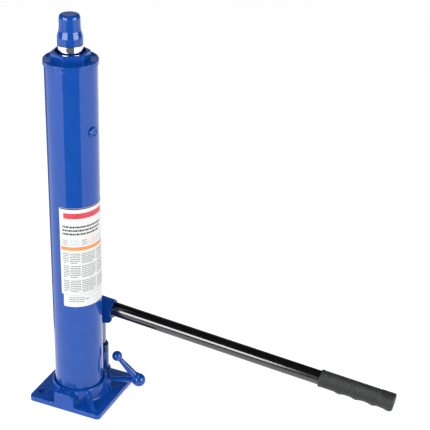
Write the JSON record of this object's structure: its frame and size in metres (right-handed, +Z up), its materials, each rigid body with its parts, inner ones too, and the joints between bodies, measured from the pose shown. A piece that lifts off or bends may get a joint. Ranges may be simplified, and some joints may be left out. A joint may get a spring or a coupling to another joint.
{
  "type": "long-ram hydraulic jack",
  "caption": "Hand-pumped hydraulic jack with a tall reservoir, a long chromed ram, a square base, a plug-in pump handle and a ball-ended release lever.",
  "frame": {"origin": "underside of the base plate, on the axis of the ram and reservoir", "axes": "+Z up along the ram, +X towards the side that the pump handle leaves, +Y towards the side that the pump stands on"},
  "size_m": [0.5321, 0.1472, 0.607],
  "materials": {
    "blue_paint": "thick glossy enamel over cast and turned steel",
    "chrome": "hard-chromed and polished",
    "bright_steel": "machined, oiled",
    "piston_iron": "turned",
    "brass": "turned",
    "black_gloss": "glossy black enamel",
    "grip_rubber": "matt, finely ribbed",
    "seal_rubber": "smooth, oiled",
    "label_film": "printed film, satin"
  },
  "bodies": {
    "root": {"base_casting": "blue_paint", "reservoir_tube": "blue_paint", "tank_nut": "blue_paint", "filler_plug": "blue_paint", "pump_cylinder": "blue_paint", "pump_gland_nut": "blue_paint", "fulcrum_bracket": "blue_paint", "pressure_cylinder": "bright_steel", "bracket_screw_1": "bright_steel", "bracket_screw_2": "bright_steel", "suction_spring": "bright_steel", "discharge_spring": "bright_steel", "relief_spring": "bright_steel", "suction_plug": "bright_steel", "discharge_plug": "bright_steel", "relief_plug": "bright_steel", "guide_bush": "brass", "cylinder_gasket": "brass", "pump_gasket": "brass", "oil_strainer": "brass", "tank_seal_ring": "seal_rubber", "rod_wiper": "seal_rubber", "plunger_seal": "seal_rubber", "release_seal": "seal_rubber", "main_label": "label_film", "lower_label": "label_film"},
    "ram": {"ram_rod": "chrome", "ram_head": "blue_paint", "piston": "piston_iron", "piston_cup": "seal_rubber", "piston_nut": "bright_steel"},
    "lever": {"handle_socket": "blue_paint", "fulcrum_pin": "bright_steel", "plunger_pin": "bright_steel", "fulcrum_pin_clip": "bright_steel", "plunger_pin_clip": "bright_steel"},
    "handle": {"handle_tube": "black_gloss", "handle_grip": "grip_rubber"},
    "plunger": {"pump_plunger": "bright_steel"},
    "release_screw": {"release_spindle": "blue_paint", "release_lever": "blue_paint", "lever_roll_pin": "bright_steel"},
    "suction_check": {"suction_ball": "bright_steel"},
    "discharge_check": {"discharge_ball": "bright_steel"},
    "relief_check": {"relief_ball": "bright_steel"}
  },
  "joints": [
    {"name": "ram_slide", "type": "slide", "parent": "root", "child": "ram", "axis": [0, 0, 1], "range_m": [0, 0.46]},
    {"name": "lever_hinge", "type": "hinge", "parent": "root", "child": "lever", "pos_m": [-0.01545, 0.05153, 0.12155], "axis": [0.0628, -0.998, 0], "range_deg": [0, 40]},
    {"name": "plunger_slide", "type": "slide", "parent": "root", "child": "plunger", "axis": [0, 0, 1], "range_m": [0, 0.0172]},
    {"name": "handle_pull", "type": "slide", "parent": "lever", "child": "handle", "axis": [0.9906, 0.0623, -0.1219], "range_m": [0, 0.033]},
    {"name": "release_turn", "type": "hinge", "parent": "root", "child": "release_screw", "pos_m": [0.0792, 0.0441, 0.019], "axis": [0.9135, 0.4067, 0], "range_deg": [0, 90]},
    {"name": "suction_ball_lift", "type": "slide", "parent": "root", "child": "suction_check", "axis": [0, 0, -1], "range_m": [0, 0.001], "stiffness_N_per_m": 60, "springref_m": -0.002, "deforming": ["suction_spring"]},
    {"name": "discharge_ball_lift", "type": "slide", "parent": "root", "child": "discharge_check", "axis": [0, 0, -1], "range_m": [0, 0.001], "stiffness_N_per_m": 60, "springref_m": -0.002, "deforming": ["discharge_spring"]},
    {"name": "relief_ball_lift", "type": "slide", "parent": "root", "child": "relief_check", "axis": [0, 0, -1], "range_m": [0, 0.001], "stiffness_N_per_m": 60, "springref_m": -0.002, "deforming": ["relief_spring"]}
  ],
  "couplings": [
    {"joint": "plunger_slide", "follows": "lever_hinge", "m_per_rad": 0.024495}
  ]
}
